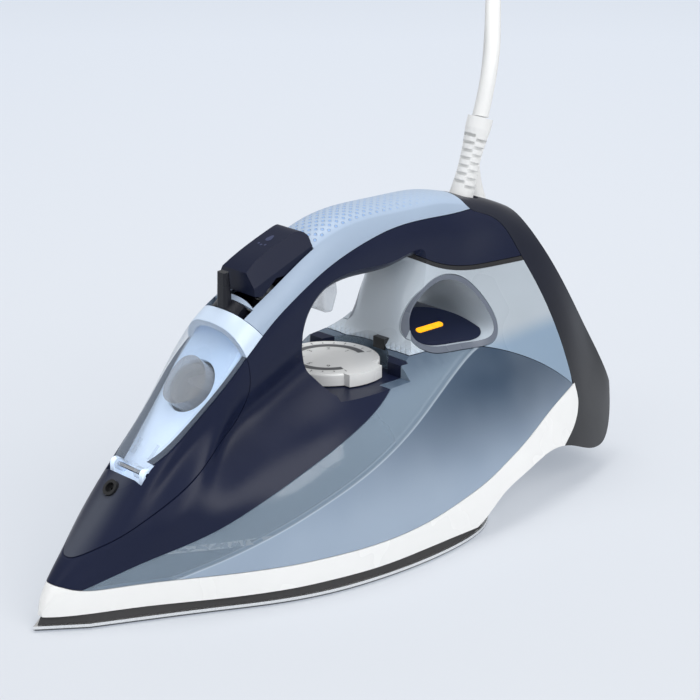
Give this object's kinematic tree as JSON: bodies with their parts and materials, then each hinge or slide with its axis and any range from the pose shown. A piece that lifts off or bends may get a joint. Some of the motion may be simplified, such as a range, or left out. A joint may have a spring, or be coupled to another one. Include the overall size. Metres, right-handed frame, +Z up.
{
  "type": "steam iron",
  "caption": "Corded steam iron with a translucent water tank, clear filler door, steam selector, spray button, steam trigger, temperature dial and swivelling cord boot",
  "frame": {"origin": "under the middle of the iron's length and width, on the plane of the soleplate", "axes": "+X to the nose, +Y to the iron's left, +Z up"},
  "size_m": [0.4172, 0.2157, 0.2198],
  "materials": {
    "sole_steel": "polished plate",
    "cast_aluminium": "as cast",
    "steel": "satin",
    "white_plastic": "smooth",
    "dark_plastic": "smooth",
    "tank_plastic": "translucent",
    "clear_plastic": "clear",
    "frosted_blue": "frosted",
    "light_blue": "soft touch",
    "trim_plastic": "satin",
    "black_rubber": "matte",
    "amber": "clear amber",
    "inner_plastic": "plain",
    "board": "lacquered",
    "cord_white": "matte",
    "brass": "bright"
  },
  "bodies": {
    "housing": {"soleplate": "sole_steel", "heater_casting": "cast_aluminium", "heating_element": "steel", "steam_chamber_cover": "cast_aluminium", "cover_screws": "steel", "thermostat": "steel", "thermal_fuse": "steel", "skirt": "white_plastic", "tank_floor": "tank_plastic", "water_tank": "tank_plastic", "pillar_shell": "frosted_blue", "pillar_gasket": "black_rubber", "hole_trim": "trim_plastic", "lamp_housing": "dark_plastic", "lamp_lenses": "amber", "dial_pointer": "dark_plastic", "handle_shell": "dark_plastic", "grip": "light_blue", "collar": "light_blue", "nose_cover": "dark_plastic", "filler_tray": "light_blue", "door_pin": "steel", "spray_nozzle": "trim_plastic", "spray_hose": "black_rubber", "heel_cover": "dark_plastic", "heel_panel": "dark_plastic", "heel_board": "board", "board_screws": "steel", "terminal_block": "inner_plastic", "cord_socket": "white_plastic", "lever_bulkhead": "inner_plastic", "pump_shelf": "inner_plastic", "spray_pump": "inner_plastic", "steam_pump": "inner_plastic", "pump_cradle": "inner_plastic", "spray_spring": "steel", "cord": "cord_white", "cord_coil": "cord_white", "cord_tail": "cord_white", "coil_tie": "cord_white", "plug_body": "cord_white", "plug_pins": "brass"},
    "dial": {"dial": "white_plastic", "thermostat_spindle": "steel"},
    "water_door": {"water_door": "clear_plastic", "filler_plug": "clear_plastic"},
    "selector_lever": {"selector_lever": "trim_plastic"},
    "dosing_rod": {"dosing_rod": "inner_plastic"},
    "spray_button": {"spray_button": "trim_plastic", "spray_piston": "inner_plastic"},
    "steam_trigger": {"steam_trigger": "clear_plastic", "steam_piston": "inner_plastic"},
    "cord_boot": {"cord_boot": "white_plastic", "cord_ball": "white_plastic"}
  },
  "joints": [
    {"name": "dial_turn", "type": "hinge", "parent": "housing", "child": "dial", "pos_m": [-0.0025, 0, 0.0758], "axis": [0, 0, 1], "range_deg": [-150, 35]},
    {"name": "door_hinge", "type": "hinge", "parent": "housing", "child": "water_door", "pos_m": [0.1065, 0, 0.0562], "axis": [0, 1, 0], "range_deg": [0, 75]},
    {"name": "lever_swing", "type": "hinge", "parent": "housing", "child": "selector_lever", "pos_m": [0.047, 0, 0.105], "axis": [-0.788, 0, 0.6157], "range_deg": [-24, 24]},
    {"name": "rod_slide", "type": "slide", "parent": "housing", "child": "dosing_rod", "axis": [0, 0, 1], "range_m": [-0.0023, 0.0023]},
    {"name": "button_press", "type": "slide", "parent": "housing", "child": "spray_button", "axis": [0, 0, 1], "range_m": [-0.0018, 0], "stiffness_N_per_m": 40, "springref_m": 0.0045, "deforming": ["spray_spring"]},
    {"name": "trigger_pull", "type": "slide", "parent": "housing", "child": "steam_trigger", "axis": [-1, 0, 0], "range_m": [0, 0.0015], "stiffness_N_per_m": 5, "springref_m": -0.002},
    {"name": "boot_tilt", "type": "hinge", "parent": "housing", "child": "cord_boot", "pos_m": [-0.0816, 0, 0.13], "axis": [0, 1, 0], "range_deg": [-18, 18]}
  ],
  "couplings": [
    {"joint": "lever_swing", "follows": "rod_slide", "rad_per_m": 172}
  ]
}
